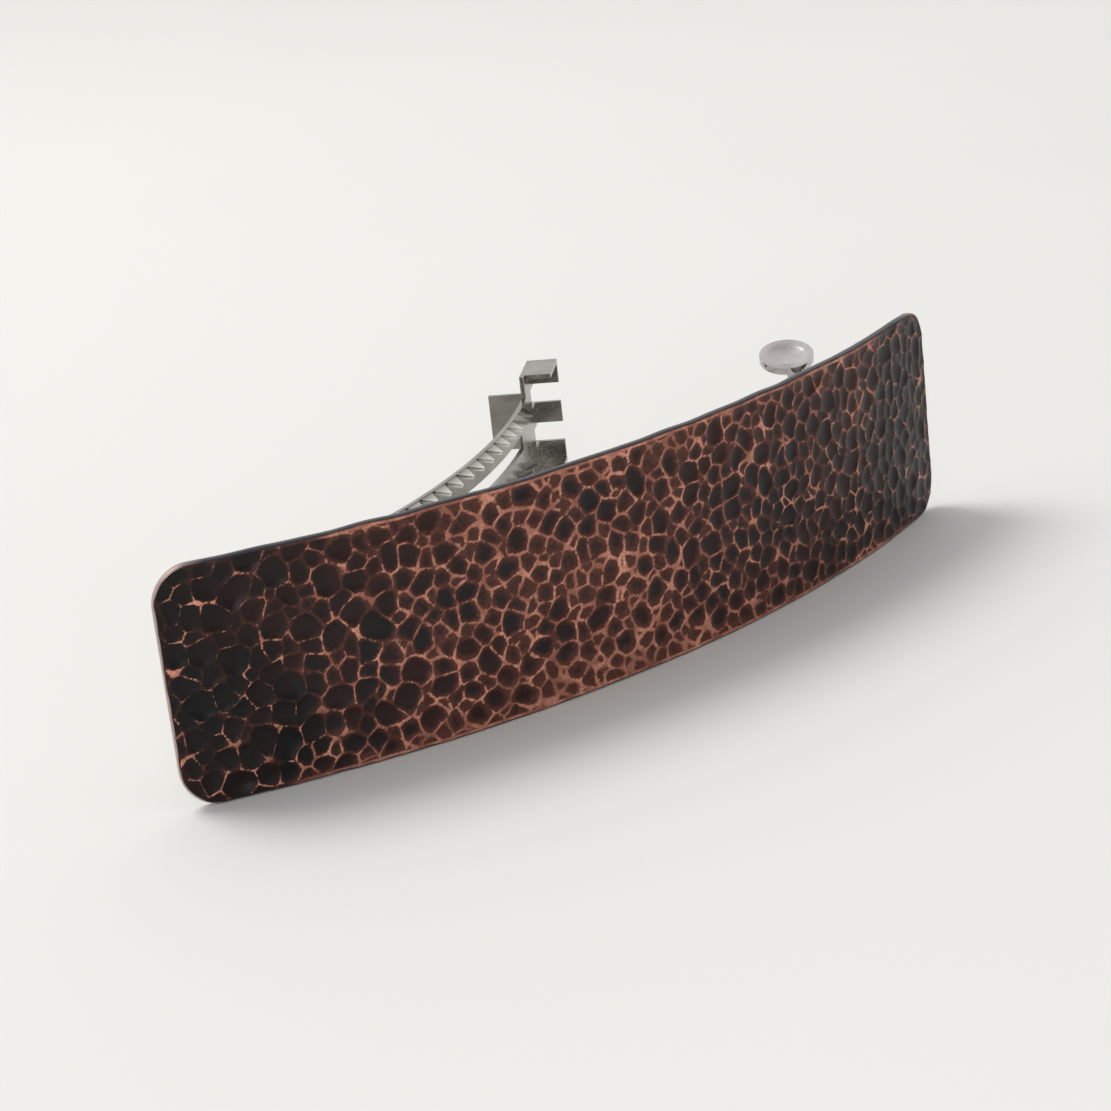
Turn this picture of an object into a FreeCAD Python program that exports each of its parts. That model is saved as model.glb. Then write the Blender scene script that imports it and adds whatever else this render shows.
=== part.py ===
import FreeCAD, Part
import math
import os

from FreeCAD import Placement, Rotation, Vector
import Sketcher

# Barrette: a curved metal bar plate on the steel spring clip that closes behind it.
# The part stands on the plate's long edge. +X runs along the bar, +Y to the back, +Z up.
# The origin is at mid-thickness of the plate's lower edge, at mid-length.
# Arc positions are degrees round the bend axis, from -Y towards +X.

SIZES = {
    # bar plate
    "plate_radius": 113.3, "plate_thick": 0.9, "plate_height": 20.0, "plate_half_angle": 22.5,
    "plate_corner": 3.2,
    # adhesive pads, squeezed up through the two holes in the base bar
    "pad_thick": 0.3, "pad_width": 6.0, "pad_from": 5.0, "pad_to": 17.0, "plug_radius": 1.0,
    "plug_angle": 11.0, "plug_proud": 0.05,
    # base bar
    "bar_thick": 0.8, "bar_width": 8.0, "bar_left": 20.7, "bar_right": 19.6,
    # hinge
    "hinge_x": -35.05, "hinge_y": 10.73, "pin_radius": 0.6, "pin_half": 4.35, "pin_head_radius": 0.95,
    "pin_head_thick": 0.3, "pin_play": 0.05, "ear_radius": 1.9, "ear_thick": 0.6, "ear_inside": 3.35,
    "arm_ear_radius": 1.65,
    # clasp arm, drawn with its straight stretch along its own +X
    "arm_swing": 18.9, "arm_offset": 1.4, "arm_sheet": 0.45, "arm_half_width": 3.1, "arm_straight": 25.4,
    "arm_back": 1.6, "arm_radius": 83.0, "arm_sweep": 23.9, "slot_half": 0.75, "slot_from": 8.0,
    "slot_to": 21.0, "slot_overlap": 0.5, "tooth_pitch": 2.35, "tooth_base": 2.25, "tooth_tip": 0.2,
    "tooth_length": 1.4, "tooth_lean": 72.0, "tooth_first": 7.0,
    # clasp head at the free end of the arm
    "head_length": 6.1, "head_half_width": 5.3, "head_notch_half": 3.0, "head_notch_from": 3.3,
    "lip_height": 4.2, "lip_half_width": 2.8, "tongue_half": 1.05, "flange_depth": 3.0, "wall_from": 0.6,
    # spring strip between the base bar and the arm
    "strip_radius": 145.2, "strip_centre_x": 6.6, "strip_centre_y": 149.2, "strip_from": -16.5,
    "strip_to": 7.5, "strip_thick": 0.3, "strip_half_width": 1.8, "strip_barrel_radius": 1.05,
    # squeeze catch at the right end of the base bar
    "catch_angle": 16.0, "seat_thick": 0.5, "seat_left": 1.6, "seat_right": 4.6, "seat_half_width": 2.5,
    "rivet_radius": 0.9, "rivet_head_radius": 1.5, "rivet_head_thick": 0.35, "rivet_x": 2.6,
    "rivet_recess": 0.05,
    "leg_inside": 1.85, "leg_sheet": 0.5, "leg_gap": 0.12, "leg_half_length": 0.95, "leg_top": 7.4,
    "barb_from": 5.45, "barb_height": 1.1, "barb_reach": 1.1, "barb_tip": 0.3,
    "barb_inset": 0.1, "neck_low": 4.6, "neck_end": 2.6, "flare_x": 4.7, "flare_rise": 3.0,
    "flare_out": 3.0, "flare_low_width": 2.0, "flare_high_width": 2.6, "flare_overlap": 1.2,
    "thumb_x": 7.4, "thumb_height": 10.65, "thumb_out": 5.7, "thumb_radius": 2.6, "thumb_thick": 0.7,
    "thumb_lean": 10.0, "thumb_twist": 14.0, "dish_radius": 6.2, "dish_depth": 0.42,
}

doc = FreeCAD.newDocument("Barrette")
sheet = doc.addObject("Spreadsheet::Sheet", "Sizes")
for row, (alias, value) in enumerate(SIZES.items(), start=1):
    sheet.set(f"A{row}", alias)
    sheet.set(f"B{row}", str(value))
    sheet.setAlias(f"B{row}", alias)
doc.recompute()

S = SIZES
MID_HEIGHT = S["plate_height"] / 2
BEND_Y = S["plate_radius"] - S["plate_thick"] / 2
PLATE_BACK = S["plate_radius"] - S["plate_thick"]
BAR_OUTER = PLATE_BACK - S["pad_thick"]
BAR_INNER = BAR_OUTER - S["bar_thick"]
CUT_SPARE = 1.0
UP = Vector(0, 0, 1)
BEND_AXIS = Placement(Vector(0, BEND_Y, 0), Rotation())

BACK_FORMULA = "(Sizes.plate_radius - Sizes.plate_thick)"
OUTER_FORMULA = "(Sizes.plate_radius - Sizes.plate_thick - Sizes.pad_thick)"
INNER_FORMULA = "(Sizes.plate_radius - Sizes.plate_thick - Sizes.pad_thick - Sizes.bar_thick)"


def turned(x, y, z, angle=0.0):
    """A placement at a point, turned about Z."""
    return Placement(Vector(x, y, z), Rotation(UP, angle))


def bent(angle, radius, z=MID_HEIGHT):
    """A placement on the bend: its +X along the arc and its +Y towards the bend axis."""
    turn = math.radians(angle)
    return turned(radius * math.sin(turn), BEND_Y - radius * math.cos(turn), z, angle)


def bind(item, formulas):
    for target, formula in formulas.items():
        item.setExpression(target, formula)


def box(name, length, width, height, place):
    item = doc.addObject("Part::Box", name)
    bind(item, {"Length": length, "Width": width, "Height": height})
    item.Placement = place
    return item


def cylinder(name, radius, height, place, angle="360"):
    item = doc.addObject("Part::Cylinder", name)
    bind(item, {"Radius": radius, "Height": height, "Angle": angle})
    item.Placement = place
    return item


def fuse(name, pieces):
    item = doc.addObject("Part::MultiFuse", name)
    item.Shapes = pieces
    return item


def cut(name, base, tool):
    item = doc.addObject("Part::Cut", name)
    item.Base = base
    item.Tool = tool
    return item


def ring_sector(name, outer, inner, height, place, sweep):
    """A curved strip: a slice of a tube, starting at the placement's own +X."""
    whole = cylinder(name + "_outer", outer, height, place, sweep)
    core_place = place.multiply(Placement(Vector(0, 0, -CUT_SPARE), Rotation()))
    core = cylinder(name + "_core", inner, f"{height} + {2 * CUT_SPARE}", core_place)
    return cut(name, whole, core)


def origin_plane(body, role):
    return next(plane for plane in body.Origin.OriginFeatures if plane.Role == role)


def strip_body(label, outer, inner, start, end, height, low):
    """A bent strip as a body on the bend axis: a ring sector sketched on XY and padded."""
    body = doc.addObject("PartDesign::Body", label)
    body.Placement = BEND_AXIS
    sketch = body.newObject("Sketcher::SketchObject", label + "_outline")
    sketch.AttachmentSupport = (origin_plane(body, "XY_Plane"), "")
    sketch.MapMode = "FlatFace"
    sketch.AttachmentOffset = Placement(Vector(0, 0, low), Rotation())
    radii = [outer[1], inner[1]]
    arc_from = math.radians(start[1] - 90)
    arc_to = math.radians(end[1] - 90)
    arcs = []
    for radius in radii:
        circle = Part.Circle(Vector(0, 0, 0), UP, radius)
        arcs.append(sketch.addGeometry(Part.ArcOfCircle(circle, arc_from, arc_to), False))
    ends = []
    for turn in (arc_from, arc_to):
        points = [Vector(radius * math.cos(turn), radius * math.sin(turn), 0) for radius in radii]
        ends.append(sketch.addGeometry(Part.LineSegment(*points), False))
    for arc in arcs:
        sketch.addConstraint(Sketcher.Constraint("Coincident", arc, 3, -1, 1))
    for line, arc_point in zip(ends, (1, 2)):
        sketch.addConstraint(Sketcher.Constraint("Coincident", line, 1, arcs[0], arc_point))
        sketch.addConstraint(Sketcher.Constraint("Coincident", line, 2, arcs[1], arc_point))
        sketch.addConstraint(Sketcher.Constraint("PointOnObject", -1, 1, line))
    for arc, (formula, radius) in zip(arcs, (outer, inner)):
        index = sketch.addConstraint(Sketcher.Constraint("Radius", arc, radius))
        sketch.setExpression(f"Constraints[{index}]", formula)
    for arc_point, (formula, angle) in zip((1, 2), (start, end)):
        reach = radii[0] * math.sin(math.radians(angle))
        order = (-1, 1, arcs[0], arc_point) if reach > 0 else (arcs[0], arc_point, -1, 1)
        index = sketch.addConstraint(Sketcher.Constraint("DistanceX", *order, abs(reach)))
        sketch.setExpression(f"Constraints[{index}]", f"{outer[0]} * sin(abs({formula}))")
    pad = body.newObject("PartDesign::Pad", label + "_pad")
    pad.Profile = sketch
    pad.setExpression("Length", height)
    sketch.Visibility = False
    doc.recompute()
    return body, pad


# ---- bar plate ----
face_plate, plate_pad = strip_body(
    "face_plate", ("Sizes.plate_radius", S["plate_radius"]), (BACK_FORMULA, PLATE_BACK),
    ("-Sizes.plate_half_angle", -S["plate_half_angle"]), ("Sizes.plate_half_angle", S["plate_half_angle"]),
    "Sizes.plate_height", 0.0)
corner_edges = []
for number, edge in enumerate(plate_pad.Shape.Edges, start=1):
    is_short = abs(edge.Length - S["plate_thick"]) < 0.01
    if is_short:
        corner_edges.append(f"Edge{number}")
plate_corners = face_plate.newObject("PartDesign::Fillet", "plate_corners")
plate_corners.Base = (plate_pad, corner_edges)
plate_corners.setExpression("Radius", "Sizes.plate_corner")
doc.recompute()

# ---- adhesive pads ----
for side, sign in (("left", -1), ("right", 1)):
    angles = [("Sizes.pad_from", S["pad_from"]), ("Sizes.pad_to", S["pad_to"])]
    if sign < 0:
        angles = [(f"-{formula}", -angle) for formula, angle in reversed(angles)]
    film, film_pad = strip_body(
        f"film_{side}", (BACK_FORMULA, PLATE_BACK), (OUTER_FORMULA, BAR_OUTER), angles[0], angles[1],
        "Sizes.pad_width", MID_HEIGHT - S["pad_width"] / 2)
    place = bent(sign * S["plug_angle"], PLATE_BACK - S["pad_thick"] / 2)
    place = place.multiply(Placement(Vector(), Rotation(Vector(1, 0, 0), -90)))
    plug = cylinder(f"plug_{side}", "Sizes.plug_radius",
                    "Sizes.bar_thick + Sizes.pad_thick / 2 + Sizes.plug_proud", place)
    fuse(f"bond_pad_{side}", [film, plug])

# ---- base bar: bent strip, two mounting holes and two hinge ears ----
bar_strip, bar_pad = strip_body(
    "bar_strip", (OUTER_FORMULA, BAR_OUTER), (INNER_FORMULA, BAR_INNER),
    ("-Sizes.bar_left", -S["bar_left"]), ("Sizes.bar_right", S["bar_right"]), "Sizes.bar_width",
    MID_HEIGHT - S["bar_width"] / 2)
hinge_arm = math.hypot(S["hinge_x"], BEND_Y - S["hinge_y"])
hinge_angle = math.degrees(math.asin(S["hinge_x"] / hinge_arm))
bar_solids = [bar_strip]
for side, low in (("upper", S["ear_inside"]), ("lower", -S["ear_inside"] - S["ear_thick"])):
    foot = bent(hinge_angle, BAR_INNER + S["bar_thick"] / 2, MID_HEIGHT + low)
    foot = foot.multiply(Placement(Vector(-S["ear_radius"], 0, 0), Rotation()))
    rise = BAR_INNER + S["bar_thick"] / 2 - hinge_arm
    bar_solids.append(box(f"ear_post_{side}", "2 * Sizes.ear_radius", f"{rise}", "Sizes.ear_thick", foot))
    round_place = turned(S["hinge_x"], S["hinge_y"], MID_HEIGHT + low)
    bar_solids.append(cylinder(f"ear_round_{side}", "Sizes.ear_radius", "Sizes.ear_thick", round_place))
bar_whole = fuse("bar_whole", bar_solids)
bar_holes = []
for side, sign in (("left", -1), ("right", 1)):
    place = bent(sign * S["plug_angle"], BAR_OUTER + CUT_SPARE)
    place = place.multiply(Placement(Vector(), Rotation(Vector(1, 0, 0), -90)))
    bar_holes.append(cylinder(f"bar_hole_{side}", "Sizes.plug_radius", f"{3 * CUT_SPARE}", place))
pin_hole_place = turned(S["hinge_x"], S["hinge_y"], 0)
bar_holes.append(cylinder("bar_pin_hole", "Sizes.pin_radius", "Sizes.plate_height", pin_hole_place))
rivet_place = bent(S["catch_angle"], BAR_OUTER + CUT_SPARE).multiply(
    Placement(Vector(S["rivet_x"], 0, 0), Rotation(Vector(1, 0, 0), -90)))
bar_holes.append(cylinder("bar_rivet_hole", "Sizes.rivet_radius", f"{3 * CUT_SPARE}", rivet_place))
cut("base_bar", bar_whole, fuse("bar_hole_set", bar_holes))

# ---- hinge pin with two small peened heads ----
pin_parts = [cylinder("pin_shank", "Sizes.pin_radius", "2 * Sizes.pin_half",
                      turned(S["hinge_x"], S["hinge_y"], MID_HEIGHT - S["pin_half"]))]
head_gap = S["ear_inside"] + S["ear_thick"]
for side, low in (("upper", head_gap), ("lower", -head_gap - S["pin_head_thick"])):
    place = turned(S["hinge_x"], S["hinge_y"], MID_HEIGHT + low)
    pin_parts.append(cylinder(f"pin_head_{side}", "Sizes.pin_head_radius", "Sizes.pin_head_thick", place))
fuse("hinge_pin", pin_parts)

# ---- clasp arm ----
ARM = turned(S["hinge_x"], S["hinge_y"], MID_HEIGHT, S["arm_swing"])
WEB_LOW = S["arm_offset"] - S["arm_sheet"] / 2
ARC_CENTRE = Vector(S["arm_straight"], S["arm_offset"] + S["arm_radius"], 0)
SWEEP = math.radians(S["arm_sweep"])
HEAD = ARM.multiply(Placement(
    Vector(S["arm_straight"] + S["arm_radius"] * math.sin(SWEEP),
           S["arm_offset"] + S["arm_radius"] * (1 - math.cos(SWEEP)), 0),
    Rotation(UP, S["arm_sweep"])))


def on_arm(x, y, z, base=ARM):
    return base.multiply(Placement(Vector(x, y, z), Rotation()))


def along_arm(distance, z):
    """The point of the web's middle surface at a distance from the hinge, with its local turn."""
    past = max(0.0, distance - S["arm_straight"]) / S["arm_radius"]
    x = min(distance, S["arm_straight"]) + S["arm_radius"] * math.sin(past)
    y = S["arm_offset"] + S["arm_radius"] * (1 - math.cos(past))
    return ARM.multiply(turned(x, y, z, math.degrees(past)))


arc_place = ARM.multiply(Placement(ARC_CENTRE - Vector(0, 0, S["arm_half_width"]), Rotation(UP, -90)))
web_arc = ring_sector("web_arc", "Sizes.arm_radius + Sizes.arm_sheet / 2",
                      "Sizes.arm_radius - Sizes.arm_sheet / 2", "2 * Sizes.arm_half_width", arc_place,
                      "Sizes.arm_sweep")
web_straight = box("web_straight", "Sizes.arm_straight + Sizes.arm_back", "Sizes.arm_sheet",
                   "2 * Sizes.arm_half_width", on_arm(-S["arm_back"], WEB_LOW, -S["arm_half_width"]))
slot_straight = box("slot_straight", "Sizes.arm_straight - Sizes.slot_from", "3 * Sizes.arm_sheet",
                    "2 * Sizes.slot_half",
                    on_arm(S["slot_from"], WEB_LOW - S["arm_sheet"], -S["slot_half"]))
slot_place = ARM.multiply(Placement(ARC_CENTRE - Vector(0, 0, S["slot_half"]),
                                    Rotation(UP, -90 - S["slot_overlap"])))
slot_arc = ring_sector("slot_arc", "Sizes.arm_radius + Sizes.arm_sheet * 2",
                       "Sizes.arm_radius - Sizes.arm_sheet * 2", "2 * Sizes.slot_half", slot_place,
                       "Sizes.slot_to + Sizes.slot_overlap")

arm_solids = [web_straight, web_arc]
for side, low in (("upper", S["arm_half_width"] - S["arm_sheet"]), ("lower", -S["arm_half_width"])):
    arm_solids.append(cylinder(f"arm_ear_{side}", "Sizes.arm_ear_radius", "Sizes.arm_sheet",
                               on_arm(0, 0, low)))
tooth_count = int((S["arm_straight"] + S["arm_radius"] * SWEEP - S["tooth_first"]) / S["tooth_pitch"])
for number in range(tooth_count):
    station = S["tooth_first"] + number * S["tooth_pitch"]
    for side, sign in (("upper", 1), ("lower", -1)):
        tooth = doc.addObject("Part::Wedge", f"tooth_{side}_{number + 1}")
        bind(tooth, {"Xmin": "-Sizes.tooth_base / 2", "Xmax": "Sizes.tooth_base / 2",
                     "X2min": "-Sizes.tooth_tip / 2", "X2max": "Sizes.tooth_tip / 2",
                     "Ymin": "0", "Ymax": "Sizes.tooth_length", "Zmin": "-Sizes.arm_sheet / 2",
                     "Zmax": "Sizes.arm_sheet / 2", "Z2min": "-Sizes.arm_sheet / 3",
                     "Z2max": "Sizes.arm_sheet / 3"})
        root = along_arm(station, sign * (S["arm_half_width"] - S["arm_sheet"] / 2))
        turn = 180 + sign * (90 - S["tooth_lean"])
        tooth.Placement = root.multiply(Placement(Vector(), Rotation(Vector(1, 0, 0), turn)))
        arm_solids.append(tooth)

HEAD_LOW = -S["arm_sheet"] / 2
arm_solids.append(box("head_web", "Sizes.head_length", "Sizes.arm_sheet", "2 * Sizes.head_half_width",
                      on_arm(0, HEAD_LOW, -S["head_half_width"], HEAD)))
arm_solids.append(box("thumb_lip", "Sizes.arm_sheet", "Sizes.lip_height", "2 * Sizes.lip_half_width",
                      on_arm(S["head_notch_from"] - S["arm_sheet"], HEAD_LOW, -S["lip_half_width"], HEAD)))
FLANGE_LOW = S["arm_sheet"] / 2 - S["flange_depth"]
arm_solids.append(box("head_tongue", "Sizes.arm_sheet", "Sizes.flange_depth", "2 * Sizes.tongue_half",
                      on_arm(S["head_length"] - S["arm_sheet"], FLANGE_LOW, -S["tongue_half"], HEAD)))
for side, sign in (("upper", 1), ("lower", -1)):
    wall_low = S["head_half_width"] - S["arm_sheet"] if sign > 0 else -S["head_half_width"]
    flange_low = S["head_notch_half"] if sign > 0 else -S["head_half_width"]
    arm_solids.append(box(f"head_wall_{side}", "Sizes.head_length - Sizes.wall_from", "Sizes.flange_depth",
                          "Sizes.arm_sheet", on_arm(S["wall_from"], FLANGE_LOW, wall_low, HEAD)))
    arm_solids.append(box(f"head_flange_{side}", "Sizes.arm_sheet", "Sizes.flange_depth",
                          "Sizes.head_half_width - Sizes.head_notch_half",
                          on_arm(S["head_length"] - S["arm_sheet"], FLANGE_LOW, flange_low, HEAD)))
arm_cuts = [slot_straight, slot_arc]
arm_cuts.append(cylinder("arm_pin_hole", "Sizes.pin_radius + Sizes.pin_play",
                         f"2 * (Sizes.arm_half_width + {CUT_SPARE})",
                         on_arm(0, 0, -S["arm_half_width"] - CUT_SPARE)))
for side, low in (("upper", S["tongue_half"]), ("lower", -S["head_notch_half"])):
    arm_cuts.append(box(f"head_window_{side}", "Sizes.head_length", "Sizes.arm_sheet * 3",
                        "Sizes.head_notch_half - Sizes.tongue_half",
                        on_arm(S["head_notch_from"], HEAD_LOW - S["arm_sheet"], low, HEAD)))
cut("clasp_arm", fuse("arm_whole", arm_solids), fuse("arm_cut_set", arm_cuts))

# ---- bowed spring strip, hung on the hinge pin ----
strip_place = turned(S["strip_centre_x"], S["strip_centre_y"], MID_HEIGHT - S["strip_half_width"],
                     S["strip_from"] - 90)
strip_arc = ring_sector("strip_arc", "Sizes.strip_radius + Sizes.strip_thick / 2",
                        "Sizes.strip_radius - Sizes.strip_thick / 2", "2 * Sizes.strip_half_width",
                        strip_place, "Sizes.strip_to - Sizes.strip_from")
barrel = cylinder("strip_barrel", "Sizes.strip_barrel_radius", "2 * Sizes.strip_half_width",
                  turned(S["hinge_x"], S["hinge_y"], MID_HEIGHT - S["strip_half_width"]))
barrel_hole = cylinder("strip_pin_hole", "Sizes.pin_radius + Sizes.pin_play", "Sizes.plate_height",
                       pin_hole_place)
cut("tension_bar", fuse("strip_whole", [strip_arc, barrel]), barrel_hole)

# ---- squeeze catch ----
CATCH = bent(S["catch_angle"], BAR_INNER)


def on_catch(x, height, z):
    return CATCH.multiply(Placement(Vector(x, height, z), Rotation()))


# the seat's block reaches into the bar, and only what lies inside the bar's inner curve is kept
seat_block = box("seat_block", "Sizes.seat_left + Sizes.seat_right", "2 * Sizes.seat_thick",
                 "2 * Sizes.seat_half_width",
                 on_catch(-S["seat_left"], -S["seat_thick"], -S["seat_half_width"]))
seat_core = cylinder("seat_core", INNER_FORMULA, "Sizes.plate_height", BEND_AXIS)
seat_curved = doc.addObject("Part::Common", "seat_curved")
seat_curved.Base = seat_block
seat_curved.Tool = seat_core


def along_rivet(height):
    """A placement on the rivet's axis at a height above the bar's inner face, its +Z outwards."""
    return on_catch(S["rivet_x"], height, 0).multiply(Placement(Vector(), Rotation(Vector(1, 0, 0), -90)))


seat_hole = cylinder("seat_hole", "Sizes.rivet_radius", f"{4 * CUT_SPARE}", along_rivet(-2 * CUT_SPARE))
cut("catch_seat", seat_curved, seat_hole)

rivet_shank = cylinder("rivet_shank", "Sizes.rivet_radius", "Sizes.bar_thick + Sizes.seat_thick",
                       along_rivet(S["rivet_recess"] - S["bar_thick"]))
rivet_head = cylinder("rivet_head", "Sizes.rivet_head_radius", "Sizes.rivet_head_thick",
                      along_rivet(S["seat_thick"]))
fuse("catch_rivet", [rivet_shank, rivet_head])


def catch_leg(side, sign):
    """One spring leg: stem, outward barb, neck, flared strip and dished thumb pad."""
    inner, sheet_thick = S["leg_inside"], S["leg_sheet"]
    low = inner if sign > 0 else -inner - sheet_thick
    foot = S["seat_thick"] + S["leg_gap"]
    solids = [box(f"leg_stem_{side}", "2 * Sizes.leg_half_length", f"Sizes.leg_top - {foot}",
                  "Sizes.leg_sheet", on_catch(-S["leg_half_length"], foot, low))]
    solids.append(box(f"leg_neck_{side}", "Sizes.neck_end + Sizes.leg_half_length",
                      "Sizes.leg_top - Sizes.neck_low", "Sizes.leg_sheet",
                      on_catch(-S["leg_half_length"], S["neck_low"], low)))
    barb = doc.addObject("Part::Wedge", f"leg_barb_{side}")
    face = inner + sheet_thick / 2
    reach = face + sheet_thick / 2 + S["barb_reach"]
    wide = sorted((sign * face, sign * reach))
    slim = sorted((sign * face, sign * (face + S["barb_tip"])))
    bind(barb, {"Xmin": "-Sizes.leg_half_length", "Xmax": "Sizes.leg_half_length - Sizes.barb_inset",
                "X2min": "-Sizes.leg_half_length", "X2max": "Sizes.leg_half_length - Sizes.barb_inset",
                "Ymin": "0", "Ymax": "Sizes.barb_height",
                "Zmin": f"{wide[0]}", "Zmax": f"{wide[1]}", "Z2min": f"{slim[0]}", "Z2max": f"{slim[1]}"})
    barb.Placement = on_catch(0, S["barb_from"], 0)
    solids.append(barb)
    flare = doc.addObject("Part::Wedge", f"leg_flare_{side}")
    out = sign * S["flare_out"]
    bind(flare, {"Xmin": "Sizes.neck_end - Sizes.flare_low_width", "Xmax": "Sizes.neck_end",
                 "X2min": "Sizes.flare_x", "X2max": "Sizes.flare_x + Sizes.flare_high_width",
                 "Ymin": "0", "Ymax": "Sizes.flare_rise",
                 "Zmin": f"{low}", "Zmax": f"{low + sheet_thick}",
                 "Z2min": f"{low + out}", "Z2max": f"{low + out + sheet_thick}"})
    flare.Placement = on_catch(0, S["leg_top"] - S["flare_overlap"], 0)
    solids.append(flare)
    lean = Rotation(Vector(1, 0, 0), S["thumb_lean"] if sign > 0 else 180 - S["thumb_lean"])
    twist = Rotation(Vector(0, 1, 0), -sign * S["thumb_twist"])
    pad_place = on_catch(S["thumb_x"], S["thumb_height"], sign * S["thumb_out"]).multiply(
        Placement(Vector(), twist.multiply(lean)))
    disc = cylinder(f"thumb_disc_{side}", "Sizes.thumb_radius", "Sizes.thumb_thick",
                    pad_place.multiply(Placement(Vector(0, 0, -S["thumb_thick"] / 2), Rotation())))
    solids.append(disc)
    dish = doc.addObject("Part::Sphere", f"thumb_dish_{side}")
    bind(dish, {"Radius": "Sizes.dish_radius"})
    dish.Placement = pad_place.multiply(
        Placement(Vector(0, 0, S["thumb_thick"] / 2 - S["dish_depth"] + S["dish_radius"]), Rotation()))
    cut(f"catch_leg_{side}", fuse(f"leg_whole_{side}", solids), dish)


catch_leg("upper", 1)
catch_leg("lower", -1)

# ---- export ----
NODES = ["face_plate", "bond_pad_left", "bond_pad_right", "base_bar", "hinge_pin", "clasp_arm",
         "tension_bar", "catch_seat", "catch_rivet", "catch_leg_upper", "catch_leg_lower"]
doc.recompute()
os.makedirs("parts", exist_ok=True)
for item in doc.Objects:
    if "Invalid" in item.State or "Error" in item.State:
        raise RuntimeError(f"{item.Name} is not sound: {item.State}")
for name in NODES:
    shape = doc.getObject(name).Shape
    if shape.isNull() or not shape.isValid() or not shape.Solids:
        raise RuntimeError(f"{name} has no valid solid")
    doc.getObject(name).Label = name
    shape.exportStep(f"parts/{name}.step")
    print(name, len(shape.Solids), round(shape.Volume, 2), shape.BoundBox)
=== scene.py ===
import math

import bmesh
import bpy
import numpy as np
from mathutils import Matrix, Vector, geometry


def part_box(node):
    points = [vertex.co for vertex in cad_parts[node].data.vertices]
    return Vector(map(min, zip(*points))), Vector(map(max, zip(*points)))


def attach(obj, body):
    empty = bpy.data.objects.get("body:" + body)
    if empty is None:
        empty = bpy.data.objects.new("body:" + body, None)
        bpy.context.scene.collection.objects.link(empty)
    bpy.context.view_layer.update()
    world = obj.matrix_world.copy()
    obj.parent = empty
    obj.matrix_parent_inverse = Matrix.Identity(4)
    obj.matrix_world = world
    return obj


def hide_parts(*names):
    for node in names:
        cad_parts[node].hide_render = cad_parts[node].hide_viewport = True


# A hammered, oxidised copper barrette on its steel spring clip. Metres, in the CAD's frame:
# +X along the bar, +Y to the back where the clip is, +Z up.
# On the plate, s is the arc length from mid-length along the front and z is the height.

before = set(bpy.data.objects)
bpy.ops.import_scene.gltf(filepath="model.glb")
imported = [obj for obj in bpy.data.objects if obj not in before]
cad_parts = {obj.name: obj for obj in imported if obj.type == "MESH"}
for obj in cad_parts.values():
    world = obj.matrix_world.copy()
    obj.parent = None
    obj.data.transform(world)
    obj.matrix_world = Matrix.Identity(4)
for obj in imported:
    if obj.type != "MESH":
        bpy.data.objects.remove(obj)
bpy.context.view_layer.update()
MM = 0.001


# ---------------------------------------------------------------- plate geometry
PLATE_CORNER = 3.2 * MM
EDGE_ROUND = 0.22 * MM
EDGE_STEPS = 3
GRID_PITCH = 0.158 * MM
BACK_PITCH = 0.55 * MM
UPPER_EDGE_DIP = 0.13 * MM
LOWER_EDGE_DIP = 0.08 * MM
BACK_DENT = 0.035 * MM
BACK_DENT_FADE = 1.5 * MM
PLATE_SEED = 41

plate_low, plate_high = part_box("face_plate")
PLATE_HEIGHT = plate_high.z - plate_low.z
PLATE_THICK = -2 * plate_low.y


def front_radius():
    """The bend radius of the plate's front, from its box: its half chord and how far its ends come back."""
    low, high = plate_high.x * 1.01, plate_high.x * 10
    for _ in range(60):
        radius = (low + high) / 2
        cosine = math.sqrt(1 - (plate_high.x / radius) ** 2)
        back = radius - PLATE_THICK / 2 - (radius - PLATE_THICK) * cosine
        low, high = (radius, high) if back > plate_high.y else (low, radius)
    return (low + high) / 2


BEND_RADIUS = front_radius()
BEND_Y = BEND_RADIUS - PLATE_THICK / 2
HALF_ARC = BEND_RADIUS * math.asin(plate_high.x / BEND_RADIUS)


def on_bend(s, z, depth):
    """Points at an arc length, a height and a depth behind the plate's front."""
    turn = s / BEND_RADIUS
    radius = BEND_RADIUS - depth
    return np.stack([radius * np.sin(turn), BEND_Y - radius * np.cos(turn), z], axis=1)


def inset_outline(s, z, inset):
    """Distance from a point to the plate's rounded outline, inwards positive, less the inset."""
    ds = np.abs(s) - (HALF_ARC - PLATE_CORNER)
    dz = np.abs(z - PLATE_HEIGHT / 2) - (PLATE_HEIGHT / 2 - PLATE_CORNER)
    outside = np.hypot(ds.clip(0, None), dz.clip(0, None)) + np.minimum(np.maximum(ds, dz), 0)
    return PLATE_CORNER - outside - inset


def outward(s, z):
    """The direction away from the plate's middle, square to its outline, at points near the outline."""
    step = 0.05 * MM
    out_s = inset_outline(s - step, z, 0) - inset_outline(s + step, z, 0)
    out_z = inset_outline(s, z - step, 0) - inset_outline(s, z + step, 0)
    length = np.hypot(out_s, out_z)
    return out_s / length, out_z / length


def smooth_noise(rng, count_s, count_z, s, z):
    """Soft random values over the plate, about -1 to 1: a small random grid read with smooth steps."""
    grid = rng.uniform(-1, 1, (count_s + 2, count_z + 2))
    u = (s / (2 * HALF_ARC) + 0.5).clip(0, 0.9999) * count_s
    v = (z / PLATE_HEIGHT).clip(0, 0.9999) * count_z
    i, j = u.astype(int), v.astype(int)
    fu, fv = u - i, v - j
    fu, fv = fu * fu * (3 - 2 * fu), fv * fv * (3 - 2 * fv)
    low = grid[i, j] * (1 - fu) + grid[i + 1, j] * fu
    high = grid[i, j + 1] * (1 - fu) + grid[i + 1, j + 1] * fu
    return low * (1 - fv) + high * fv


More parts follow.
